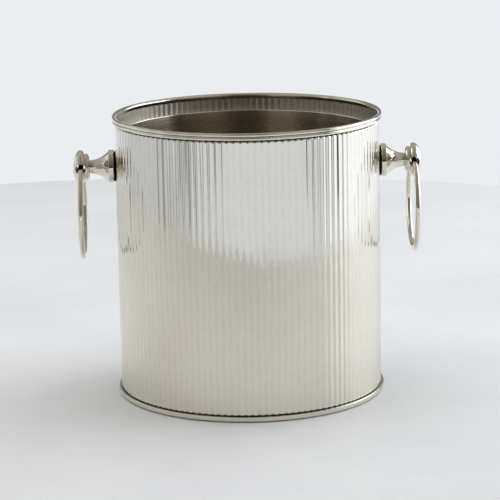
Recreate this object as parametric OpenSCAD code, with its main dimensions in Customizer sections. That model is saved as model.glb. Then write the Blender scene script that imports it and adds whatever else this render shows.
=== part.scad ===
// Champagne bucket: a reeded double-walled pail with a ring handle on each side.
// Millimetres, +Z up. The origin is the centre of the foot, on the surface that the
// bucket stands on. The handles lie on the X axis.

/* [Bucket] */
// Overall height, foot to rim
bucket_h = 224; // [200:1:250]
// Diameter over the crests of the reeds
body_d = 210; // [190:2:230]
// Number of reeds round the body
reed_count = 126; // [108:2:140]
// Slope of a reed's side where it meets the next reed, in degrees
reed_slope = 12; // [8:1:18]
// Thickness of the sheet metal
sheet_t = 0.8; // [0.6:0.1:1.0]

/* [Rim and foot] */
// Height of the cap on the sheet's top edge, and of its bead
cap_h = 2.8; // [2.4:0.1:3.2]
// Height of the half-round band under the cap
band_h = 2.7; // [2.2:0.1:3.2]
// How far the rim's two beads stand out beyond the reeds
rim_proud = 2.0; // [1.6:0.1:2.2]
// How far the cap's skirt reaches down inside the wall
skirt_h = 4.3; // [3.6:0.1:5.0]
// Height of the foot's bead
foot_h = 4.6; // [4.0:0.1:5.4]
// How far the foot's bead stands out beyond the reeds
foot_proud = 2.2; // [1.8:0.1:2.4]

/* [Liner] */
// Gap between the shell and the liner, which holds the handles' screw heads
liner_gap = 4.5; // [3.7:0.1:8]
// Depth of the liner's flange below the rim
liner_drop = 13.3; // [10:0.1:20]
// Height of the liner's floor above the table
liner_floor = 12; // [9:0.5:20]

/* [Handles] */
// Depth of the handles' axis below the rim
post_drop = 41; // [38:0.5:60]
// Diameter of the post's flange
flange_d = 26.4; // [24:0.2:30]
// Thickness of the post's flange
flange_t = 4; // [3.5:0.1:5]
// Length of the post's trumpet, from flange to neck
trumpet_l = 14.6; // [14:0.1:17]
// Diameter of the post's neck
neck_d = 10.9; // [10:0.1:12]
// Largest diameter of the knob
knob_d = 26.8; // [25:0.2:28]
// Diameter of the knob's cross hole
hole_d = 8.2; // [8:0.1:8.6]
// Diameter of the ring's wire
wire_d = 4.2; // [3.6:0.1:4.4]
// Outer diameter of the ring
ring_d = 77.2; // [72:0.2:84]

/* [Hidden] */

fit_gap = 0.05;     // gap between pieces that are soldered, pressed or screwed together
overcut = 1;        // how far a cutter reaches past the faces that it cuts
fine = 180;         // segments of the bucket's rounds
medium = 72;        // segments of the handles' rounds
small = 32;         // segments of the reeds and beads

// Bucket
crest_r = body_d / 2;
half_pitch_angle = 180 / reed_count;
// A reed is an arc whose end slope is reed_slope; its centre lies inside the wall.
reed_r = crest_r * sin(half_pitch_angle) / (sin(reed_slope) + sin(half_pitch_angle));
reed_centre_r = crest_r - reed_r;
reed_half_chord = reed_centre_r * sin(half_pitch_angle);
inner_reed_r = reed_r - sheet_t;
inner_valley_r = reed_centre_r * cos(half_pitch_angle) + sqrt(inner_reed_r ^ 2 - reed_half_chord ^ 2);

// Rim
cap_edge_r = cap_h / 2;
cap_inner_r = inner_valley_r - fit_gap - sheet_t;
cap_outer_r = crest_r + rim_proud;
sheet_top_z = bucket_h - cap_h - fit_gap;
band_edge_r = band_h / 2;
band_z = bucket_h - cap_h - band_edge_r - fit_gap;

// Foot
foot_flange_t = 1.2;
foot_flange_w = 6;
foot_inner_r = crest_r - foot_flange_w;
foot_edge_r = foot_h / 2;
sheet_bottom_z = foot_flange_t + fit_gap;

// Base plate
base_gap = 0.2;
base_r = inner_valley_r - base_gap;
base_rest_w = 8;
base_step_w = 3;
base_rise = 3.2;

// Liner
liner_r = inner_valley_r - liner_gap - sheet_t;
liner_corner_r = 8;
liner_lip_gap = 0.3;
liner_lip_r = inner_valley_r - liner_lip_gap;
liner_lip_z = bucket_h - liner_drop;

// Handles, measured outwards along the post's axis from the reeds' crests
post_z = bucket_h - post_drop;
gasket_t = 1;
gasket_inset = 1.3;
gasket_d = flange_d - 2 * gasket_inset;
flange_edge_r = 0.5;
post_l = flange_t + trumpet_l;
post_x = crest_r + gasket_t;
knob_x = post_x + post_l;
// The trumpet is one arc, level at the neck, that ends in a small step at the flange's rim.
flange_step = 0.15;
trumpet_fall = (flange_d - neck_d) / 2 - flange_step;
trumpet_r = (trumpet_l ^ 2 + trumpet_fall ^ 2) / (2 * trumpet_fall);

// Knob
collar_l = 3.3;
collar_rise = 5.05;
collar_end_angle = 70;
knob_back_l = 2.87;
knob_back_angle = 170;
knob_dome_l = 6.7;
knob_dome_angle = 84;
collar_end_s = collar_l * (1 + cos(collar_end_angle));
collar_end_r = neck_d / 2 + collar_rise * sin(collar_end_angle);
knob_widest_s = collar_end_s + knob_back_l;
arc_steps = 12;

// Ring
wire_r = wire_d / 2;
ring_r = ring_d / 2 - wire_r;
hole_offset = 0.1;
hole_x = knob_x + knob_widest_s + hole_offset;
// The wire bends inside the straight hole, so it is centred between its middle and its ends.
wire_sag = ring_r - sqrt(ring_r ^ 2 - (knob_d / 2) ^ 2);
ring_centre_z = post_z + wire_sag / 2 - ring_r;

// Fixings behind the wall
thread_r = 2.45;
tapped_r = thread_r + fit_gap;
clearance_r = 2.6;
stud_l = 8;
stud_hole_l = 8.5;
screw_bite = 8.5;
screw_hole_l = 9;
plate_t = 0.9;
plate_w = 22;
plate_h = 24;
plate_gap = 0.1;
plate_outer_r = inner_valley_r - plate_gap;
washer_r = 4.6;
washer_t = 0.6;
// The flat washer touches the curved plate at its edges.
washer_x = sqrt((plate_outer_r - plate_t) ^ 2 - washer_r ^ 2) - fit_gap - washer_t;
head_r = 4.4;
head_t = 1.4;
head_x = washer_x - fit_gap - head_t;
slot_w = 1.1;
slot_t = 0.7;
tip_chamfer = 0.6;

// Points of an elliptical arc about [x, y], from angle a0 to a1, as [x, y] pairs.
function arc(x, y, rx, ry, a0, a1) = [
  for (i = [0 : arc_steps])
    let (a = a0 + (a1 - a0) * i / arc_steps)
      [x + rx * cos(a), y + ry * sin(a)]
];

// Turns a profile of [distance along the axis, radius] points about the axis.
module turned(profile) {
  rotate_extrude($fn = medium)
    polygon([for (p = profile) [p[1], p[0]]]);
}

// Places a child that is modelled along +Z on the handle's axis, x from the bucket's axis.
module on_post(x) {
  translate([x, 0, post_z])
    rotate([0, 90, 0])
      children();
}

module left_side() {
  rotate([0, 0, 180])
    children();
}

// A rod along a handle's axis between two distances from the bucket's axis.
module post_rod(r, x0, x1) {
  on_post(x0)
    cylinder(h = x1 - x0, r = r, $fn = medium);
}

// The outline of a ring of reeds, each of radius edge_r, about a round core.
module reed_ring(core_r, edge_r) {
  circle(r = core_r, $fn = fine);
  for (i = [0 : reed_count - 1])
    rotate((i + 0.5) * 360 / reed_count)
      translate([reed_centre_r, 0])
        circle(r = edge_r, $fn = small);
}

module outer_shell() {
  color("gainsboro")
    difference() {
      translate([0, 0, sheet_bottom_z])
        linear_extrude(sheet_top_z - sheet_bottom_z)
          difference() {
            reed_ring(reed_centre_r + reed_r / 2, reed_r);
            reed_ring(reed_centre_r + inner_reed_r / 2, inner_reed_r);
          }
      for (side = [-1, 1])
        scale([side, 1, 1])
          post_rod(clearance_r, reed_centre_r, crest_r + overcut);
    }
}

module rim_cap() {
  color("silver")
    rotate_extrude($fn = fine)
      difference() {
        union() {
          for (r = [cap_inner_r + cap_edge_r, cap_outer_r - cap_edge_r])
            translate([r, bucket_h - cap_edge_r])
              circle(r = cap_edge_r, $fn = small);
          translate([cap_inner_r + cap_edge_r, bucket_h - cap_h])
            square([cap_outer_r - cap_inner_r - cap_h, cap_h]);
          translate([cap_inner_r, bucket_h - skirt_h])
            square([sheet_t, skirt_h - cap_edge_r]);
        }
        translate([cap_inner_r + sheet_t, bucket_h - skirt_h])
          square([crest_r + fit_gap - cap_inner_r - sheet_t, skirt_h - cap_h]);
      }
}

module rim_band() {
  color("silver")
    rotate_extrude($fn = fine)
      intersection() {
        translate([crest_r + rim_proud - band_edge_r, band_z])
          circle(r = band_edge_r, $fn = small);
        translate([crest_r + fit_gap, band_z - band_edge_r])
          square([rim_proud, band_h]);
      }
}

module liner_section(r, floor_z, corner_r) {
  translate([0, floor_z])
    square([r - corner_r, corner_r]);
  translate([0, floor_z + corner_r])
    square([r, liner_lip_z - floor_z - corner_r]);
  translate([r - corner_r, floor_z + corner_r])
    intersection() {
      circle(r = corner_r, $fn = medium);
      translate([0, -corner_r])
        square(corner_r);
    }
}

module liner() {
  color("lightgray")
    rotate_extrude($fn = fine)
      union() {
        difference() {
          liner_section(liner_r + sheet_t, liner_floor - sheet_t, liner_corner_r + sheet_t);
          liner_section(liner_r, liner_floor, liner_corner_r);
        }
        translate([liner_r, liner_lip_z - sheet_t])
          square([liner_lip_r - liner_r, sheet_t]);
      }
}

module base_plate() {
  rest_r = base_r - base_rest_w;
  panel_r = rest_r - base_step_w;
  low_z = sheet_bottom_z;
  high_z = low_z + base_rise;
  color("darkgray")
    rotate_extrude($fn = fine)
      polygon([
        [0, high_z], [panel_r, high_z], [rest_r, low_z], [base_r, low_z],
        [base_r, low_z + sheet_t], [rest_r, low_z + sheet_t],
        [panel_r, high_z + sheet_t], [0, high_z + sheet_t]
      ]);
}

module foot_ring() {
  color("silver")
    rotate_extrude($fn = fine)
      difference() {
        union() {
          translate([crest_r + foot_proud - foot_edge_r, foot_edge_r])
            circle(r = foot_edge_r, $fn = small);
          translate([foot_inner_r, 0])
            square([foot_flange_w, foot_flange_t]);
        }
        translate([0, foot_flange_t])
          square([crest_r + fit_gap, foot_h]);
      }
}

module gasket() {
  color("black")
    difference() {
      post_rod(gasket_d / 2, crest_r - gasket_t, post_x - fit_gap);
      cylinder(h = bucket_h, r = crest_r + fit_gap, $fn = 2 * fine);
      post_rod(clearance_r, crest_r - gasket_t, post_x);
    }
}

module post() {
  flange_r = flange_d / 2;
  color("silver")
    difference() {
      on_post(post_x)
        rotate_extrude($fn = medium)
          difference() {
            union() {
              square([flange_r - flange_edge_r, post_l]);
              translate([0, flange_edge_r])
                square([flange_r, flange_t - flange_edge_r]);
              translate([flange_r - flange_edge_r, flange_edge_r])
                circle(r = flange_edge_r, $fn = small);
            }
            translate([neck_d / 2 + trumpet_r, post_l])
              circle(r = trumpet_r, $fn = fine);
            translate([flange_r - 2 * flange_edge_r, flange_t])
              square([flange_r, post_l]);
          }
      post_rod(tapped_r, post_x - overcut, post_x + screw_hole_l);
      post_rod(tapped_r, knob_x - stud_hole_l, knob_x + overcut);
    }
}

module knob() {
  color("silver")
    difference() {
      union() {
        on_post(knob_x + fit_gap)
          turned(concat(
            [[0, 0]],
            arc(collar_l, neck_d / 2, collar_l, collar_rise, 180, collar_end_angle),
            arc(knob_widest_s, collar_end_r, knob_back_l, knob_d / 2 - collar_end_r, knob_back_angle, 90),
            arc(knob_widest_s, 0, knob_dome_l, knob_d / 2, knob_dome_angle, 0)
          ));
        post_rod(thread_r, knob_x - stud_l, knob_x + collar_l);
      }
      translate([hole_x, 0, post_z])
        rotate([90, 0, 0])
          cylinder(h = knob_d + 2 * overcut, d = hole_d, center = true, $fn = medium);
    }
}

module ring() {
  color("silver")
    translate([hole_x, 0, ring_centre_z])
      rotate([0, 90, 0])
        rotate_extrude($fn = fine)
          translate([ring_r, 0])
            circle(r = wire_r, $fn = small);
}

module backing_plate() {
  color("darkgray")
    difference() {
      intersection() {
        cylinder(h = bucket_h, r = plate_outer_r, $fn = fine);
        translate([0, -plate_w / 2, post_z - plate_h / 2])
          cube([crest_r, plate_w, plate_h]);
      }
      cylinder(h = bucket_h, r = plate_outer_r - plate_t, $fn = fine);
      post_rod(clearance_r, 0, crest_r);
    }
}

module lock_washer() {
  color("dimgray")
    difference() {
      post_rod(washer_r, washer_x, washer_x + washer_t);
      post_rod(clearance_r, washer_x - overcut, washer_x + washer_t + overcut);
    }
}

module screw() {
  tip_x = post_x + screw_bite;
  color("dimgray")
    difference() {
      union() {
        post_rod(head_r, head_x, head_x + head_t);
        post_rod(thread_r, head_x, tip_x - tip_chamfer);
        on_post(tip_x - tip_chamfer)
          cylinder(h = tip_chamfer, r1 = thread_r, r2 = thread_r - tip_chamfer, $fn = medium);
      }
      translate([head_x, 0, post_z])
        cube([2 * slot_t, slot_w, 2 * (head_r + overcut)], center = true);
    }
}

module left_gasket() { left_side() gasket(); }
module left_post() { left_side() post(); }
module left_knob() { left_side() knob(); }
module left_ring() { left_side() ring(); }
module left_backing_plate() { left_side() backing_plate(); }
module left_lock_washer() { left_side() lock_washer(); }
module left_screw() { left_side() screw(); }

module right_gasket() { gasket(); }
module right_post() { post(); }
module right_knob() { knob(); }
module right_ring() { ring(); }
module right_backing_plate() { backing_plate(); }
module right_lock_washer() { lock_washer(); }
module right_screw() { screw(); }

outer_shell();
rim_cap();
rim_band();
liner();
base_plate();
foot_ring();
left_gasket();
left_post();
left_knob();
left_ring();
left_backing_plate();
left_lock_washer();
left_screw();
right_gasket();
right_post();
right_knob();
right_ring();
right_backing_plate();
right_lock_washer();
right_screw();
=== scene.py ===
"""Looks of the champagne bucket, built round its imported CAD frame. Metres, +Z up.

The bucket's axis is the Z axis, the handles lie on the X axis and the front faces -Y.
"""

import math
import random

import bmesh
import bpy
from mathutils import Matrix, Vector

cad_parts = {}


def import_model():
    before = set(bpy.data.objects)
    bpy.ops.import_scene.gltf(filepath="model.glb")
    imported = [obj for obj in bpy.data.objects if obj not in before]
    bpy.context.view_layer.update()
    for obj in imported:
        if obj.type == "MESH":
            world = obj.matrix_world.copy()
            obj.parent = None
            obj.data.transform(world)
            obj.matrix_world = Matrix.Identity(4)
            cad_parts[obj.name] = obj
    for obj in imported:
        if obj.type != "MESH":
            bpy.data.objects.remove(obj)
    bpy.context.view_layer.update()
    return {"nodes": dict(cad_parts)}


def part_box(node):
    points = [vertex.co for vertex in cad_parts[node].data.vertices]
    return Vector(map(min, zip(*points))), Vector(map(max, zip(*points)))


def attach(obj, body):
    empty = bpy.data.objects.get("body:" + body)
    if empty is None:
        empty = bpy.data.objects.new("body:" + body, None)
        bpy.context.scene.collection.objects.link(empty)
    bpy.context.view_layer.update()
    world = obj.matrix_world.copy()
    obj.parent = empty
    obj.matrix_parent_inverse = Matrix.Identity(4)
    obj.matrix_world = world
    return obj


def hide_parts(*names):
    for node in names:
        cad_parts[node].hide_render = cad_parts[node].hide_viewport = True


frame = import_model()

MM = 0.001
random.seed(11)

# ---------------------------------------------------------------- sizes, from the frame
shell_low, shell_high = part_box("outer_shell")
cap_low, cap_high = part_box("rim_cap")
band_low, band_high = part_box("rim_band")
foot_low, foot_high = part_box("foot_ring")
base_low, base_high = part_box("base_plate")
liner_low, liner_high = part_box("liner")
gasket_low, gasket_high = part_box("right_gasket")
post_low, post_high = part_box("right_post")
knob_low, knob_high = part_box("right_knob")
ring_low, ring_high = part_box("right_ring")

SHEET = 0.8 * MM
FIT_GAP = 0.05 * MM
REEDS = 126
REED_SLOPE = math.radians(9.5)
LIP_GAP = 0.3 * MM
LINER_GAP = 4.5 * MM
CREST_R = shell_high.y
INNER_VALLEY_R = liner_high.y + LIP_GAP

POST_Z = (post_low.z + post_high.z) / 2
NECK_R = 5.45 * MM
HOLE_R = 4.1 * MM
HOLE_X = (ring_low.x + ring_high.x) / 2
WIRE_R = (ring_high.x - ring_low.x) / 2
RING_R = (ring_high.y - ring_low.y) / 2 - WIRE_R
RING_Z = (ring_low.z + ring_high.z) / 2

BEAD_SEGMENTS = 420

# ---------------------------------------------------------------- colours
NICKEL = (0.77, 0.735, 0.645, 1)
FILMED_NICKEL = (0.71, 0.665, 0.56, 1)
# Painted shade: nickel darkened and browned for the liner, standing in for the shade deep inside the
# bucket.
LINER_NICKEL_PAINTED_SHADE = (0.47, 0.41, 0.30, 1)
# Painted shade: a darker, browner tint for the inside of the reeded sheet, deep in the bucket.
SHEET_BACK_PAINTED_SHADE = (0.40, 0.35, 0.27, 1)
DUST = (0.45, 0.41, 0.34, 1)
# Painted shade: near black for the necks past the reeds' ends and for the crests inside the bucket.
PAINTED_SHADE_BLACK = (0.012, 0.010, 0.006, 1)


# ---------------------------------------------------------------- camera
def make_camera():
    """A long lens from the front, above the rim, turned and rolled very slightly."""
    distance = 16.47 * CREST_R
    height = 4.663 * CREST_R
    orbit = math.radians(-1.6)
    turn = math.radians(-1.623)
    pitch = math.radians(12.31)
    roll = math.radians(-1.08)
    data = bpy.data.cameras.new("camera")
    data.lens = 159.0
    data.sensor_width = 36
    camera = bpy.data.objects.new("camera", data)
    bpy.context.scene.collection.objects.link(camera)
    place = Vector((distance * math.sin(orbit), -distance * math.cos(orbit), height))
    aim = Matrix.Rotation(turn, 4, "Z") @ Matrix.Rotation(math.pi / 2 - pitch, 4, "X")
    camera.matrix_world = Matrix.Translation(place) @ (aim @ Matrix.Rotation(roll, 4, "Z"))
    bpy.context.scene.camera = camera


# ---------------------------------------------------------------- material helpers
class Graph:
    """A node tree with a short way to add a node and feed its inputs."""

    def __init__(self, tree):
        self.tree = tree
        tree.nodes.clear()

    def add(self, kind, inputs=None, output=0, **settings):
        node = self.tree.nodes.new("ShaderNode" + kind)
        for key, value in settings.items():
            setattr(node, key, value)
        for key, value in (inputs or {}).items():
            if isinstance(value, bpy.types.NodeSocket):
                self.tree.links.new(value, node.inputs[key])
            else:
                node.inputs[key].default_value = value
        return node.outputs[output]

    def math(self, operation, a, b=0.0, clamp=False):
        return self.add("Math", {0: a, 1: b}, operation=operation, use_clamp=clamp)

    def noise(self, vector, scale, detail=3.0, roughness=0.5):
        inputs = {"Vector": vector, "Scale": scale, "Detail": detail, "Roughness": roughness}
        return self.add("TexNoise", inputs)

    def spread(self, value, low, high, out_low=0.0, out_high=1.0):
        """Value from low..high onto out_low..out_high, clamped."""
        return self.add("MapRange", {0: value, 1: low, 2: high, 3: out_low, 4: out_high}, clamp=True)

    def mix(self, factor, a, b):
        return self.add("Mix", {"Factor": factor, 6: a, 7: b}, output=2, data_type="RGBA")

    def attribute(self, name):
        """The number that the mesh keeps under this name."""
        return self.add("Attribute", attribute_name=name, output=2)

    def bump(self, height, strength, distance):
        return self.add("Bump", {"Strength": strength, "Distance": distance, "Height": height})

    def split(self, vector):
        """The x, y and z of a vector."""
        node = self.tree.nodes.new("ShaderNodeSeparateXYZ")
        self.tree.links.new(vector, node.inputs[0])
        return tuple(node.outputs)

    def place(self, stretch=(1, 1, 1)):
        """Position on the object, in metres, times stretch."""
        coordinates = self.add("TexCoord", output=3)
        return self.add("Mapping", {"Vector": coordinates, "Scale": stretch})

    def round_z(self, along, across):
        """Position as arc length round the Z axis times along, and as radius and height times across."""
        x, y, z = self.split(self.add("TexCoord", output=3))
        angle = self.math("ARCTAN2", y, x)
        squares = self.math("ADD", self.math("MULTIPLY", x, x), self.math("MULTIPLY", y, y))
        radius = self.math("SQRT", squares)
        stretched = {
            0: self.math("MULTIPLY", angle, CREST_R * along),
            1: self.math("MULTIPLY", radius, across),
            2: self.math("MULTIPLY", z, across),
        }
        return self.add("CombineXYZ", stretched)

    def around_z(self):
        """The direction round the Z axis."""
        return self.add("Tangent", direction_type="RADIAL", axis="Z")

    def end(self, kind, shader):
        """Links a shader to a new output node."""
        output = self.tree.nodes.new("ShaderNodeOutput" + kind)
        self.tree.links.new(shader, output.inputs[0])

    def finish(self, **sockets):
        """Ends the tree in one Principled shader."""
        shader = self.tree.nodes.new("ShaderNodeBsdfPrincipled")
        for key, value in sockets.items():
            socket = shader.inputs[key.replace("_", " ")]
            if isinstance(value, bpy.types.NodeSocket):
                self.tree.links.new(value, socket)
            else:
                socket.default_value = value
        self.end("Material", shader.outputs[0])


def new_material(name):
    material = bpy.data.materials.new(name)
    material.use_nodes = True
    return material, Graph(material.node_tree)


def nickel(name, grain, rough, recess=False, stain=0.25, brushed=0.0):
    """Polished nickel plate. grain(graph) says which way its polishing lines run.

    A brushed plate blurs round the Z axis. With recess, the mesh says where dust gathers, where shade
    is painted near black, and which side of the sheet is the unpolished inside, painted darker as shade.
    """
    material, g = new_material(name)
    where = g.place()
    film = g.spread(g.noise(where, scale=22, detail=4, roughness=0.55), 0.42, 0.75, 0.0, stain)
    colour = g.mix(film, NICKEL, FILMED_NICKEL)
    fine = g.noise(grain(g), scale=2600, detail=2, roughness=0.6)
    patches = g.spread(g.noise(where, scale=45, detail=5, roughness=0.6), 0.45, 0.8, 0.0, 0.05)
    roughness = g.math("ADD", g.spread(fine, 0.3, 0.7, rough * 0.8, rough * 1.2), patches)
    if recess:
        inside = g.attribute("inside")
        hollow = g.attribute("recess")
        # Painted shade: the inside of the sheet is mixed 30 % towards the darker tint. The unpolished
        # inside shows in its roughness below.
        colour = g.mix(g.math("MULTIPLY", inside, 0.3), colour, SHEET_BACK_PAINTED_SHADE)
        dust = g.spread(g.noise(where, scale=160), 0.3, 0.7, 0.0, 0.2)
        colour = g.mix(g.math("MULTIPLY", hollow, dust, clamp=True), colour, DUST)
        # Painted shade: a recess value past 1.05 paints the reed necks and the inside crests near black.
        painted_shade_share = g.spread(hollow, 1.05, 1.3)
        colour = g.mix(painted_shade_share, colour, PAINTED_SHADE_BLACK)
        roughness = g.math("ADD", roughness, g.math("MULTIPLY", painted_shade_share, 0.5))
        roughness = g.math("ADD", roughness, g.math("MULTIPLY", inside, 0.3))
    hills = g.noise(where, scale=130, detail=2)
    height = g.math("ADD", g.math("MULTIPLY", fine, 0.03), hills)
    bump = g.bump(height, 0.25, 0.02 * MM)
    sockets = {"Base_Color": colour, "Metallic": 1.0, "Roughness": roughness, "Normal": bump}
    if brushed:
        sockets |= {"Anisotropic": brushed, "Anisotropic_Rotation": 0.25, "Tangent": g.around_z()}
    g.finish(**sockets)
    return material


def bore_painted_shade():
    """The unpolished wall of a drilled hole, its near-black colour painted shade for the inside of the
    hole.
    """
    material, g = new_material("drilled_bore_painted_shade")
    rings = g.noise(g.place((1, 0.1, 1)), scale=1500)
    # Painted shade: near-black colours for the shaded inside of the hole.
    colour = g.mix(rings, (0.030, 0.028, 0.024, 1), (0.075, 0.070, 0.060, 1))
    roughness = g.spread(rings, 0.3, 0.7, 0.4, 0.6)
    g.finish(Base_Color=colour, Metallic=1.0, Roughness=roughness, Normal=g.bump(rings, 0.4, 0.03 * MM))
    return material


def satin(name, grain, rough, tint, polished_above=None):
    """Spun metal with a satin surface and a few dull marks. Its edge may be polished above a height."""
    material, g = new_material(name)
    where = g.place()
    fine = g.noise(grain(g), scale=900, detail=4, roughness=0.65)
    marks = g.noise(where, scale=30, detail=5, roughness=0.6)
    dull_tint = tuple(0.86 * c for c in tint[:3]) + (1,)
    colour = g.mix(g.spread(marks, 0.45, 0.8, 0.0, 0.6), tint, dull_tint)
    roughness = g.spread(fine, 0.3, 0.7, rough * 0.8, rough * 1.2)
    roughness = g.math("ADD", roughness, g.spread(marks, 0.5, 0.8, 0.0, 0.08))
    if polished_above:
        height = g.split(where)[2]
        # Above this height the colour turns to plain nickel. A darker tint below it, as on the liner, is
        # painted shade.
        edge = g.spread(height, polished_above - 0.5 * MM, polished_above)
        colour = g.mix(edge, colour, NICKEL)
        roughness = g.math("MULTIPLY", roughness, g.spread(edge, 0.0, 1.0, 1.0, 0.3))
    g.finish(
        Base_Color=colour,
        Metallic=1.0,
        Roughness=roughness,
        Normal=g.bump(fine, 0.3, 0.02 * MM),
        Anisotropic=0.95,
        Anisotropic_Rotation=0.25,
        Tangent=g.around_z(),
    )
    return material


def rubber():
    """The black washers."""
    material, g = new_material("rubber")
    where = g.place()
    grains = g.noise(where, scale=1800)
    colour = g.mix(g.noise(where, scale=90), (0.003, 0.003, 0.003, 1), (0.008, 0.008, 0.007, 1))
    roughness = g.spread(grains, 0.3, 0.7, 0.6, 0.8)
    bump = g.bump(grains, 0.4, 0.03 * MM)
    g.finish(Base_Color=colour, Roughness=roughness, Normal=bump, Specular_IOR_Level=0.15)
    return material


def zinc():
    """Plain zinc-plated steel, for the fixings inside the wall."""
    material, g = new_material("zinc")
    where = g.place()
    spangle = g.add("TexVoronoi", {"Vector": where, "Scale": 900.0}, output=1)
    grey = g.mix(g.noise(where, scale=250, detail=4), (0.52, 0.53, 0.54, 1), (0.38, 0.39, 0.42, 1))
    blend = {"Factor": 0.15, 6: grey, 7: spangle}
    colour = g.add("Mix", blend, output=2, data_type="RGBA", blend_type="OVERLAY")
    roughness = g.spread(g.noise(where, scale=500), 0.3, 0.7, 0.3, 0.5)
    bump = g.bump(g.noise(where, scale=1200), 0.3, 0.03 * MM)
    g.finish(Base_Color=colour, Metallic=1.0, Roughness=roughness, Normal=bump)
    return material


def stone():
    """The pale table top."""
    material, g = new_material("pale_top")
    where = g.place()
    mottle = g.spread(g.noise(where, scale=5, detail=6, roughness=0.6), 0.35, 0.65)
    colour = g.mix(mottle, (0.76, 0.77, 0.79, 1), (0.82, 0.83, 0.84, 1))
    roughness = g.spread(g.noise(where, scale=14, detail=4), 0.3, 0.7, 0.42, 0.52)
    bump = g.bump(g.noise(where, scale=160, detail=4), 0.15, 0.2 * MM)
    g.finish(Base_Color=colour, Roughness=roughness, Normal=bump, Specular_IOR_Level=0.35)
    return material


def glow(name, colour, strength):
    """Plain light of one colour."""
    material, g = new_material(name)
    g.end("Material", g.add("Emission", {"Color": (*colour, 1), "Strength": strength}))
    return material


# ---------------------------------------------------------------- mesh helpers
def arc(x, y, radius_x, radius_y, start, end, steps):
    """Points on an ellipse about (x, y), angles in degrees."""
    points = []
    for i in range(steps + 1):
        a = math.radians(start + (end - start) * i / steps)
        points.append((x + radius_x * math.cos(a), y + radius_y * math.sin(a)))
    return points


def rounded(corners, steps=5):
    """A closed outline from (x, y, fillet radius) corners, with each corner rounded."""
    points = []
    count = len(corners)
    for i, (x, y, fillet) in enumerate(corners):
        here = Vector((x, y))
        before = Vector(corners[i - 1][:2])
        after = Vector(corners[(i + 1) % count][:2])
        if fillet <= 0:
            points.append((x, y))
            continue
        back, on = (before - here).normalized(), (after - here).normalized()
        half = back.angle(on) / 2
        reach = fillet / math.tan(half)
        start, end = here + back * reach, here + on * reach
        centre = here + (back + on).normalized() * (fillet / math.sin(half))
        support = min(fillet, (before - start).length * 0.2)
        points.append(tuple(start + back * support))
        for k in range(steps + 1):
            ray = start.lerp(end, k / steps) - centre
            points.append(tuple(centre + ray.normalized() * fillet))
        support = min(fillet, (after - end).length * 0.2)
        points.append(tuple(end + on * support))
    return points


def subdivide(points, longest):
    """The same closed outline with no stretch longer than longest."""
    result = []
    for i, point in enumerate(points):
        a, b = Vector(point), Vector(points[(i + 1) % len(points)])
        pieces = max(1, math.ceil((b - a).length / longest))
        result += [tuple(a.lerp(b, k / pieces)) for k in range(pieces)]
    return result


def evenly(start, end, steps):
    """Numbers from start to end in equal steps."""
    return [start + (end - start) * k / steps for k in range(steps + 1)]


def mesh_object(name, vertices, faces):
    """A smooth object with merged points and outward faces."""
    mesh = bpy.data.meshes.new(name)
    mesh.from_pydata(vertices, [], faces)
    mesh.validate()
    edit = bmesh.new()
    edit.from_mesh(mesh)
    bmesh.ops.remove_doubles(edit, verts=edit.verts, dist=MM / 10000)
    bmesh.ops.recalc_face_normals(edit, faces=edit.faces)
    for face in edit.faces:
        face.smooth = True
    edit.to_mesh(mesh)
    edit.free()
    piece = bpy.data.objects.new(name, mesh)
    bpy.context.scene.collection.objects.link(piece)
    return piece


def lathe(name, outline, segments, to_space, closed=True):
    """Turns an outline of (radius, height) points about an axis.

    to_space(radius, height, angle) gives the point. An outline that isn't closed makes an open tube.
    """
    vertices = []
    for k in range(segments):
        angle = 2 * math.pi * k / segments
        vertices += [to_space(r, h, angle) for r, h in outline]
    count = len(outline)
    faces = []
    for k in range(segments):
        here, there = k * count, (k + 1) % segments * count
        for i in range(count if closed else count - 1):
            j = (i + 1) % count
            faces.append((here + i, here + j, there + j, there + i))
    return mesh_object(name, vertices, faces)


def about_z(r, h, angle):
    return (r * math.cos(angle), r * math.sin(angle), h)


def about_post(side):
    """Turns (radius, distance from the bucket's axis) about the handle's axis."""

    def to_space(r, x, angle):
        return (side * x, side * r * math.cos(angle), POST_Z + r * math.sin(angle))

    return to_space


def cap_holes(edit):
    """Closes every opening of an edited mesh by a smooth face and turns all its faces outward."""
    openings = [e for e in edit.edges if e.is_boundary]
    for face in bmesh.ops.holes_fill(edit, edges=openings, sides=0)["faces"]:
        face.smooth = True
    bmesh.ops.recalc_face_normals(edit, faces=edit.faces)


def close_pinhole(piece, off_axis, radius):
    """Replaces the pinhole that a lathe leaves by end faces.

    off_axis(point) is a point's distance to the axis.
    """
    edit = bmesh.new()
    edit.from_mesh(piece.data)
    walls = [f for f in edit.faces if all(off_axis(v.co) < radius * 1.01 for v in f.verts)]
    bmesh.ops.delete(edit, geom=walls, context="FACES_ONLY")
    cap_holes(edit)
    edit.to_mesh(piece.data)
    edit.free()


def off_z_axis(point):
    return point.xy.length


def off_post_axis(point):
    return Vector((point.y, point.z - POST_Z)).length


def furnish(piece, body, slot, material, *nodes):
    """Gives a piece its material and its body, and hides the CAD nodes that it stands for."""
    piece.data.materials.clear()
    piece.data.materials.append(material)
    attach(piece, body)
    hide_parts(*nodes)
    return piece


# ---------------------------------------------------------------- the bucket
def ripple(waves, angle, z):
    """A slow unevenness of the sheet, between 0 and 1."""
    total = sum(size * math.cos(turns * angle + phase + z * slope) for size, turns, slope, phase in waves)
    return 0.5 * (1 + total)


def make_waves(count, lowest, highest, steepest):
    """Random waves of lowest to highest turns round the bucket.

    Up the bucket, a wave turns by up to steepest radians a metre.
    """
    waves = []
    for _ in range(count):
        turns = random.randint(lowest, highest)
        slope = random.uniform(-steepest, steepest)
        phase = random.uniform(0, 2 * math.pi)
        waves.append((1 / count, turns, slope, phase))
    return waves


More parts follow.
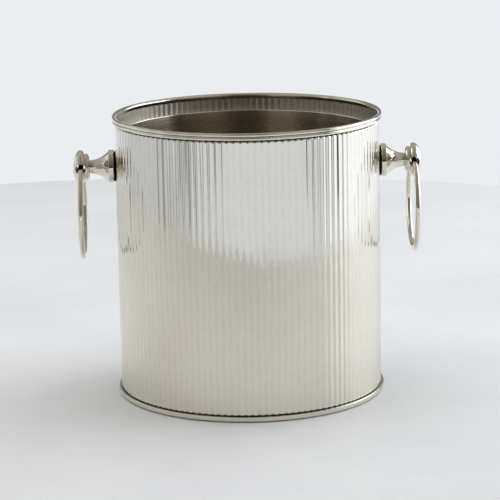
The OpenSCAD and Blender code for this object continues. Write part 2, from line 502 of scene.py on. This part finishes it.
def outer_shell(material):
    """The reeded sheet, a smooth wave round the bucket.

    Each reed ends in a low dome under the rim band and over the foot ring.
    """
    columns = 12
    pitch = 2 * math.pi * CREST_R / REEDS
    depth = math.tan(REED_SLOPE) * pitch / math.pi
    reed_top = band_low.z - 0.75 * MM
    reed_foot = foot_high.z + 0.15 * MM
    dome = 0.9 * MM
    scallop = 0.8 * MM
    neck = 0.35 * MM
    dent = 0.10 * MM
    step = 0.15 * MM
    # Past the reeds' domed ends, the necks get a little dust and the painted shade of the crevices under
    # the band and over the foot.
    end_dust_and_shade = 0.4
    # Inside the sheet, the crests get dust and painted shade for the dark inside of the bucket.
    inner_dust_and_shade = 1.16
    low, high = shell_low.z, shell_high.z
    waves = make_waves(9, 3, 17, 45)
    depth_shares = [random.uniform(0.92, 1.0) for _ in range(REEDS)]

    def fade(u, z):
        """1 along the reed and 0 past its domed ends. u goes from -1 to 1 across one reed."""
        share = 1.0
        bow = scallop * u * u
        for end in ((reed_top - bow - z) / dome, (z - reed_foot - bow) / dome):
            t = max(0.0, min(1.0, end))
            share = min(share, math.sqrt(1 - (1 - t) ** 2))
        return share

    end_l = scallop + dome
    bottom = evenly(reed_foot, reed_foot + end_l, 8)
    top = evenly(reed_top - end_l, reed_top, 10)
    middle = evenly(bottom[-1], top[0], 26)[1:-1]
    rows = [low, foot_low.z + 2 * MM, reed_foot - step, *bottom, *middle, *top, reed_top + step, high]
    inner_rows = [high, cap_low.z, *evenly(liner_high.z, low, 8)]

    vertices, recess, inside = [], [], []
    for i in range(REEDS):
        reed_depth = depth * depth_shares[i]
        for k in range(columns):
            u = 2 * k / columns - 1
            angle = (i + 0.5 + u / 2) * 2 * math.pi / REEDS
            crest = (1 + math.cos(math.pi * u)) / 2
            wave_r = CREST_R - depth + reed_depth * crest
            for z in rows:
                share = fade(u, z)
                r = CREST_R - depth + reed_depth * crest * share
                r -= dent * ripple(waves, angle, z) * share + neck * (1 - share)
                vertices.append(about_z(r, z, angle))
                # Recess: dust in the valleys, and painted shade near black at the necks past the domes.
                recess.append(1 - crest * share + end_dust_and_shade * (1 - share))
                inside.append(0.0)
            for z in inner_rows:
                dent_share = min(1.0, (high - z) / (cap_high.z - liner_high.z))
                r = wave_r - SHEET - dent * ripple(waves, angle, z) * dent_share
                vertices.append(about_z(r, z, angle))
                # Inside, the crests' recess value gives them dust and painted shade.
                recess.append(inner_dust_and_shade * crest)
                inside.append(1.0)
    loop = len(rows) + len(inner_rows)
    count = REEDS * columns
    faces = []
    for k in range(count):
        here, there = k * loop, (k + 1) % count * loop
        for i in range(loop):
            j = (i + 1) % loop
            faces.append((here + i, here + j, there + j, there + i))
    mesh = bpy.data.meshes.new("reeded_wall")
    mesh.from_pydata(vertices, [], faces)
    mesh.update()
    for name, values in (("recess", recess), ("inside", inside)):
        mesh.attributes.new(name, "FLOAT", "POINT").data.foreach_set("value", values)
    mesh.polygons.foreach_set("use_smooth", [True] * len(faces))
    mesh.set_sharp_from_angle(angle=math.radians(50))
    piece = bpy.data.objects.new("reeded_wall", mesh)
    bpy.context.scene.collection.objects.link(piece)
    return furnish(piece, "bucket", "reeded_wall", material, "outer_shell")


def rim_cap(material):
    """Rolled cap on the sheet's top edge: a bead outside, a rounded crown and a skirt inside the wall."""
    edge = 1.4 * MM
    crown = 1.9 * MM
    fillet = 0.3 * MM
    top = cap_high.z
    under = top - 2 * edge
    bead_r = cap_high.y - edge
    inner_r = INNER_VALLEY_R - FIT_GAP - SHEET
    skirt_r = inner_r + SHEET
    outline = arc(bead_r, top - edge, edge, edge, 90, -90, 20)
    outline += arc(skirt_r + fillet, under - fillet, fillet, fillet, 90, 180, 4)
    outline += arc(inner_r + SHEET / 2, cap_low.z + SHEET / 2, SHEET / 2, SHEET / 2, 0, -180, 8)
    outline += arc(bead_r, top - crown, bead_r - inner_r, crown, 180, 94, 22)
    piece = lathe("rim_cap_bead", outline, BEAD_SEGMENTS, about_z)
    return furnish(piece, "bucket", "polished_trim", material, "rim_cap")


def rim_band(material):
    """Half-round band soldered under the cap."""
    edge = (band_high.z - band_low.z) / 2
    middle = (band_high.z + band_low.z) / 2
    flat_r = CREST_R + FIT_GAP
    lean = math.degrees(math.acos((flat_r - (band_high.y - edge)) / edge))
    outline = arc(band_high.y - edge, middle, edge, edge, lean, -lean, 22)
    outline = subdivide(outline, 0.5 * MM)
    piece = lathe("rim_band_bead", outline, BEAD_SEGMENTS, about_z)
    return furnish(piece, "bucket", "polished_trim", material, "rim_band")


def foot_ring(material):
    """Foot moulding: a tall bead just clear of the table, and the flange that stands on the table."""
    shoulder = 0.4 * MM
    lift = 0.7 * MM
    flange_t = 1.2 * MM
    flange_w = 6 * MM
    fillet = 0.3 * MM
    low = foot_low.z
    flange_top = low + flange_t
    widest_z = foot_high.z - shoulder
    wall_r = CREST_R + FIT_GAP
    inner_r = CREST_R - flange_w
    width = (foot_high.y - wall_r) / 2
    bead_r = foot_high.y - width
    outline = [(wall_r, low)]
    outline += arc(bead_r, widest_z, width, widest_z - low - lift, -90, 0, 22)
    outline += arc(bead_r, widest_z, width, shoulder, 0, 165, 22)[1:]
    outline += [(wall_r + 0.1 * MM, flange_top + 0.5 * MM), (wall_r, flange_top + 0.1 * MM)]
    outline += [(wall_r - 0.2 * MM, flange_top)]
    outline += arc(inner_r + fillet, flange_top - fillet, fillet, fillet, 90, 180, 4)
    outline += arc(inner_r + fillet, low + fillet, fillet, fillet, 180, 270, 4)
    outline = subdivide(outline, 1.2 * MM)
    piece = lathe("foot_bead", outline, BEAD_SEGMENTS, about_z)
    return furnish(piece, "bucket", "polished_trim", material, "foot_ring")


def liner(material):
    """The smooth inner bucket. Its flange has a rolled bead and falls outward to the wall."""
    bead_r = 0.7 * MM
    bead_end = 35  # degrees
    fall = 1.9 * MM
    corner = 8 * MM
    fillet = 0.3 * MM
    dent = 0.12 * MM
    even_l = 20 * MM
    axis_r = 0.4 * MM
    low, top = liner_low.z, liner_high.z
    floor_z = low + SHEET
    flange_r = liner_high.y
    outer_r = INNER_VALLEY_R - LINER_GAP
    inner_r = outer_r - SHEET
    outline = [(axis_r, floor_z)]
    outline += arc(inner_r - corner, floor_z + corner, corner, corner, -90, 0, 16)
    outline += arc(inner_r + bead_r, top - bead_r, bead_r, bead_r, 180, bead_end, 12)
    outline += arc(flange_r - SHEET / 2, top - fall - SHEET / 2, SHEET / 2, SHEET / 2, 80, -90, 8)
    outline += arc(outer_r + fillet, top - fall - SHEET, fillet, fillet, 90, 180, 4)
    outline += arc(inner_r - corner, floor_z + corner, corner + SHEET, corner + SHEET, 0, -90, 16)
    outline += [(axis_r, low)]
    outline = subdivide(outline, 7 * MM)
    waves = make_waves(6, 2, 9, 30)

    def wavy(r, h, angle):
        """A point of the liner, slightly dented away from its floor and its edge."""
        share = max(0.0, min(1.0, (top - h) / even_l, (h - floor_z) / even_l))
        return about_z(r - dent * share * ripple(waves, angle, h), h, angle)

    piece = lathe("liner_bucket", outline, 288, wavy)
    close_pinhole(piece, off_z_axis, axis_r)
    return furnish(piece, "bucket", "liner_metal", material, "liner")


def base_plate(material):
    """Dished disc that closes the bottom of the shell."""
    low, high = base_low.z, base_high.z
    panel_z = high - SHEET
    edge_r = base_high.y
    rest_r = edge_r - 8 * MM
    panel_r = rest_r - 3 * MM
    axis_r = 0.4 * MM
    bend = 0.8 * MM
    edge = 0.25 * MM
    corners = [
        (axis_r, panel_z, 0),
        (panel_r, panel_z, bend),
        (rest_r, low, bend),
        (edge_r, low, edge),
        (edge_r, low + SHEET, edge),
        (rest_r, low + SHEET, bend),
        (panel_r, high, bend),
        (axis_r, high, 0),
    ]
    outline = subdivide(rounded(corners), 8 * MM)
    piece = lathe("base_disc", outline, 240, about_z)
    close_pinhole(piece, off_z_axis, axis_r)
    return furnish(piece, "bucket", "base_metal", material, "base_plate")


# ---------------------------------------------------------------- the handles
def gasket(side_name, side, material):
    """Thin rubber washer, its inner face curved to the wall."""
    outer = (gasket_high.z - gasket_low.z) / 2
    bore = 2.6 * MM
    corner = 0.25 * MM
    round_r = outer - corner * 0.3
    face_x = gasket_high.x
    wall_r = CREST_R + FIT_GAP
    turned = about_post(side)

    def to_space(r, level, angle):
        """A point at a share, level, of the way from the wall to the post."""
        y = r * math.cos(angle)
        wall_x = math.sqrt(wall_r**2 - y**2)
        return turned(r, wall_x + (face_x - wall_x) * level, angle)

    across = evenly(bore, outer - corner, 12)
    outline = [(r, 0) for r in across]
    outline += [(round_r, 0.06), (outer, 0.3), (outer, 0.7), (round_r, 0.94)]
    outline += [(r, 1) for r in reversed(across)]
    piece = lathe(side_name + "_rubber_washer", outline, 96, to_space)
    return furnish(piece, "bucket", "black_gasket", material, side_name + "_gasket")


def post(side_name, side, material):
    """Turned post: a flange, a trumpet and a neck, drilled and tapped at both ends."""
    flange_r = (post_high.z - post_low.z) / 2
    flange_t = 4 * MM
    start, end = post_low.x, post_high.x
    step = 0.15 * MM
    edge = 0.45 * MM
    neck_edge = 0.12 * MM
    tapped_r = 2.5 * MM
    screw_hole = 9 * MM
    stud_hole = 8.5 * MM
    mouth = 0.3 * MM
    tip = 0.6 * MM
    trumpet_l = end - start - flange_t
    fall = flange_r - NECK_R - step
    sweep_r = (trumpet_l**2 + fall**2) / (2 * fall)
    sweep = math.degrees(math.asin(trumpet_l / sweep_r))
    # Radius first, then distance from the bucket's axis.
    outline = arc(flange_r - edge, start + edge, edge, edge, -90, 0, 6)
    outline += arc(flange_r - edge, start + flange_t - edge, edge, edge, 0, 70, 6)
    outline += arc(NECK_R + sweep_r, end, sweep_r, sweep_r, 180 + sweep, 180, 34)[1:-1]
    outline += [(NECK_R, end - neck_edge), (NECK_R - neck_edge, end)]
    outline += [(tapped_r + mouth, end), (tapped_r, end - mouth), (tapped_r, end - stud_hole)]
    outline += [(mouth, end - stud_hole - tip), (mouth, start + screw_hole + tip)]
    outline += [(tapped_r, start + screw_hole), (tapped_r, start + mouth), (tapped_r + mouth, start)]
    outline = subdivide(outline, 1.5 * MM)
    piece = lathe(side_name + "_trumpet_post", outline, 128, about_post(side))
    piece.data.set_sharp_from_angle(angle=math.radians(40))
    return furnish(piece, "bucket", "handle_metal", material, side_name + "_post")


def knob(side_name, side, material, bore):
    """Turned knob: a collar lobe, a lens-shaped head and a stud, with a cross hole for the ring."""
    start = post_high.x + FIT_GAP
    collar_l, collar_rise = 3.3 * MM, 5.05 * MM
    collar_end = 70  # degrees
    back_l = 2.87 * MM
    dome_l = 6.7 * MM
    head_r = (knob_high.z - knob_low.z) / 2
    stud_r = 2.45 * MM
    stud_end = knob_low.x
    chamfer = 0.4 * MM
    undercut = 0.1 * MM
    axis_r = 0.15 * MM
    on_bore = 0.05 * MM
    collar_x = start + collar_l
    collar_end_x = collar_x + collar_l * math.cos(math.radians(collar_end))
    collar_end_r = NECK_R + collar_rise * math.sin(math.radians(collar_end))
    widest_x = collar_end_x + back_l
    side_view = [(stud_end, axis_r), (stud_end, stud_r - chamfer), (stud_end + chamfer, stud_r)]
    side_view += [(start, stud_r), (start, NECK_R - undercut)]
    side_view += arc(collar_x, NECK_R, collar_l, collar_rise, 178, collar_end, 22)
    side_view += arc(widest_x, collar_end_r, back_l, head_r - collar_end_r, 174, 90, 12)
    side_view += arc(widest_x, 0, dome_l, head_r, 86, 2, 40)
    side_view += [(widest_x + dome_l, axis_r)]
    outline = subdivide([(r, x) for x, r in side_view], 1.2 * MM)
    piece = lathe(side_name + "_lens_knob", outline, 144, about_post(side))
    close_pinhole(piece, off_post_axis, axis_r)
    drill(piece, side)
    piece.data.set_sharp_from_angle(angle=math.radians(32))
    furnish(piece, "bucket", "handle_metal", material, side_name + "_knob")
    # The hole's wall takes the near-black painted shade.
    piece.data.materials.append(bore)
    for face in piece.data.polygons:
        off_hole = Vector((face.center.x - side * HOLE_X, face.center.z - POST_Z)).length
        if abs(off_hole - HOLE_R) < on_bore and abs(face.normal.y) < 0.3:
            face.material_index = 1
    return piece


def drill(piece, side):
    """Cuts the cross hole for the ring through the knob."""
    reach = 20 * MM

    def to_space(r, y, angle):
        return (side * HOLE_X + r * math.cos(angle), y, POST_Z + r * math.sin(angle))

    cutter = lathe("cutter", [(HOLE_R, -reach), (HOLE_R, reach)], 96, to_space, closed=False)
    edit = bmesh.new()
    edit.from_mesh(cutter.data)
    cap_holes(edit)
    edit.to_mesh(cutter.data)
    edit.free()
    cut = piece.modifiers.new("cross hole", "BOOLEAN")
    cut.object = cutter
    cut.operation = "DIFFERENCE"
    cut.solver = "EXACT"
    bpy.context.view_layer.update()
    shape = bpy.data.meshes.new_from_object(piece.evaluated_get(bpy.context.evaluated_depsgraph_get()))
    piece.modifiers.clear()
    piece.data = shape
    bpy.data.objects.remove(cutter)


def ring(side_name, side, material):
    """Round wire ring that hangs in the knob's cross hole."""

    def to_space(r, h, angle):
        return (side * HOLE_X + h, r * math.sin(angle), RING_Z + r * math.cos(angle))

    outline = arc(RING_R, 0, WIRE_R, WIRE_R, 0, 360, 40)[:-1]
    piece = lathe(side_name + "_wire_ring", outline, 240, to_space)
    return furnish(piece, side_name + "_ring", "ring_metal", material, side_name + "_ring")


# ---------------------------------------------------------------- stage and light
def stage_mesh(name, vertices, faces, material, seen=True):
    """A part of the stage, which the camera sees or doesn't see."""
    mesh = bpy.data.meshes.new(name)
    mesh.from_pydata(vertices, [], faces)
    mesh.materials.append(material)
    thing = bpy.data.objects.new(name, mesh)
    bpy.context.scene.collection.objects.link(thing)
    thing.visible_camera = seen
    return thing


def table():
    """A round pale table top with a rounded edge. Its far edge shows as a soft line on the wall."""
    radius, thick = 0.82, 0.03
    edge = 4 * MM
    centre_x, centre_y = -0.09, 0.13
    steps = 240
    tilts = [math.radians(a) for a in (0, 22, 45, 67, 90)]
    profile = [(radius - edge + edge * math.sin(a), -edge + edge * math.cos(a)) for a in tilts]
    profile.append((radius, -thick))
    vertices = []
    for k in range(steps):
        a = 2 * math.pi * k / steps
        vertices += [(centre_x + r * math.cos(a), centre_y + r * math.sin(a), z) for r, z in profile]
    count = len(profile)
    faces = [tuple(k * count for k in range(steps))]
    for k in range(steps):
        here, there = k * count, (k + 1) % steps * count
        faces += [(here + i, here + i + 1, there + i + 1, there + i) for i in range(count - 1)]
    top = stage_mesh("table", vertices, faces, stone())
    top.data.polygons.foreach_set("use_smooth", [True] * len(faces))
    top.data.set_sharp_from_angle(angle=math.radians(30))


def at_azimuth(azimuth, z, distance):
    """A point round the Z axis. Azimuth 0 is the front, -Y, and 90 is +X."""
    return about_z(distance, z, math.radians(azimuth - 90))


def card(name, azimuths, heights, colour, strength, distance=2.9):
    """A glowing panel bent round the Z axis, which only the metal and the table see."""
    start, end = azimuths
    steps = max(1, math.ceil(abs(end - start) / 5))
    vertices = [at_azimuth(a, z, distance) for a in evenly(start, end, steps) for z in heights]
    faces = [(2 * k, 2 * k + 1, 2 * k + 3, 2 * k + 2) for k in range(steps)]
    return stage_mesh(name, vertices, faces, glow(name, colour, strength), False)


def shaped_card(name, corners, colour, strength, distance):
    """A card with its own (azimuth, height) corners, with more points along its wide sides."""
    outline = []
    for (a, z), (next_a, next_z) in zip(corners, corners[1:] + corners[:1]):
        pieces = max(1, math.ceil(abs(next_a - a) / 3))
        outline += list(zip(evenly(a, next_a, pieces), evenly(z, next_z, pieces)))[:-1]
    vertices = [at_azimuth(a, z, distance) for a, z in outline]
    return stage_mesh(name, vertices, [tuple(range(len(vertices)))], glow(name, colour, strength), False)


def surround():
    """What the metal mirrors: a bright room floor, a window on the right and a pale curtain behind."""
    cool, warm = (0.91, 0.96, 1.05), (1.0, 0.97, 0.94)
    low = (-2.0, -0.02)
    window = (79, 138)
    card("floor_front", (-66, 64), low, cool, 0.885)
    card("floor_low_left", (-66, -37), (-2.0, -0.3), cool, 0.74, 2.85)
    card("floor_far_left", (-140, -66), (-2.0, 0.35), cool, 0.72)
    card("floor_right", (64, 79), low, cool, 0.9)
    card("window_low", window, (-2.0, -0.1), cool, 1.36)
    card("window_high", window, (-0.1, 2.4), cool, 2.6)
    card("curtain", (138, 220), (-1.2, 0.45), cool, 1.0)
    card("back_wall", (138, 222), (0.45, 1.9), warm, 0.26)
    card("high_left", (-84, -78), (0.5, 1.8), cool, 1.0, 2.8)

    shade = (0.96, 0.96, 1.03)
    near_edge = ((-50, -0.02), (-37, -0.02), (-37, -0.29), (-43, -0.315), (-50, -0.36))
    far_edge = ((-71, -0.02), (-60, -0.02), (-60, -0.45), (-66, -0.5), (-71, -0.5))
    shaped_card("floor_shade_near", near_edge, shade, 0.39, 2.8)
    shaped_card("floor_shade_far", far_edge, shade, 0.39, 2.8)
    frame_edge = ((64, 2.4), (70.5, 2.4), (70.5, -0.56), (69.5, -0.52))
    frame_edge += ((68.5, -0.42), (66, -0.37), (64, -0.33))
    shaped_card("window_frame", frame_edge, (0.9, 1.0, 1.15), 0.04, 2.85)

    half_width, front, back, height = 1.4, -0.7, 1.2, 1.9
    overhead = [(-half_width, front, height), (half_width, front, height)]
    overhead += [(half_width, back, height), (-half_width, back, height)]
    softbox = stage_mesh("softbox", overhead, [(0, 1, 2, 3)], glow("softbox", (1.0, 1.0, 1.0), 2.15), False)
    softbox.visible_glossy = False


def backdrop():
    """The plain pale backdrop that the camera sees round the table. It lights nothing."""
    steps, distance = 72, 3.6
    heights = (-4.0, 5.0)
    vertices = [at_azimuth(360 * k / steps, z, distance) for k in range(steps) for z in heights]
    faces = []
    for k in range(steps):
        j = (k + 1) % steps
        faces.append((2 * k, 2 * k + 1, 2 * j + 1, 2 * j))
    sheet = stage_mesh("backdrop", vertices, faces, glow("backdrop", (0.94, 0.97, 1.0), 0.88))
    sheet.visible_diffuse = False
    sheet.visible_glossy = False
    sheet.visible_shadow = False


def world():
    """The room's own light: pale behind and at the sides, and dark straight ahead, on the camera's side."""
    scene_world = bpy.data.worlds.new("soft_room")
    scene_world.use_nodes = True
    g = Graph(scene_world.node_tree)
    x, y, z = g.split(g.add("TexCoord", output=0))
    sides = g.mix(g.spread(z, 0.05, 0.85), (0.30, 0.28, 0.25, 1), (0.44, 0.42, 0.38, 1))
    ahead = g.mix(g.spread(z, 0.1, 0.95), (0.075, 0.062, 0.048, 1), (0.25, 0.23, 0.20, 1))
    front = g.mix(g.spread(g.math("ABSOLUTE", x), 0.16, 0.42), ahead, sides)
    back = g.mix(g.spread(z, 0.30, 0.70), (0.80, 0.81, 0.82, 1), (0.42, 0.41, 0.38, 1))
    colour = g.mix(g.spread(y, -0.2, 0.35), front, back)
    g.end("World", g.add("Background", {"Color": colour, "Strength": 1.0}))
    bpy.context.scene.world = scene_world


# ---------------------------------------------------------------- grains
def upright(g):
    """Polishing lines that run up and down."""
    return g.place((1, 1, 0.02))


def hoop(g):
    """Polishing lines that run round the Z axis."""
    return g.round_z(0.02, 1)


def turned_x(g):
    """Turning lines that run round the handle's axis."""
    return g.place((1, 0.05, 0.05))


def even(g):
    """The same in all directions."""
    return g.place()


# ---------------------------------------------------------------- build
make_camera()

wall_metal = nickel("reeded_nickel", upright, 0.055, recess=True, brushed=0.6)
trim_metal = nickel("polished_nickel", hoop, 0.06)
handle_metal = nickel("handle_nickel", turned_x, 0.04, stain=0.15)
ring_metal = nickel("ring_nickel", even, 0.045, stain=0.2)
# The liner's darker tint is painted shade. Its polished lip keeps plain nickel.
liner_metal = satin("spun_liner", hoop, 0.24, LINER_NICKEL_PAINTED_SHADE, polished_above=liner_high.z - 0.4 * MM)
base_metal = satin("spun_base", hoop, 0.3, NICKEL)
black = rubber()
bore = bore_painted_shade()
plated = zinc()

outer_shell(wall_metal)
rim_cap(trim_metal)
rim_band(trim_metal)
foot_ring(trim_metal)
liner(liner_metal)
base_plate(base_metal)
for side_name, side in (("left", -1), ("right", 1)):
    gasket(side_name, side, black)
    post(side_name, side, handle_metal)
    knob(side_name, side, handle_metal, bore)
    ring(side_name, side, ring_metal)
    for fixing in ("backing_plate", "lock_washer", "screw"):
        node = frame["nodes"][f"{side_name}_{fixing}"]
        node.data.materials.clear()
        node.data.materials.append(plated)

table()
surround()
backdrop()
world()

scene = bpy.context.scene
scene.view_settings.view_transform = "Standard"
scene.view_settings.look = "None"
scene.cycles.max_bounces = 16
scene.cycles.glossy_bounces = 14
scene.cycles.use_denoising = True
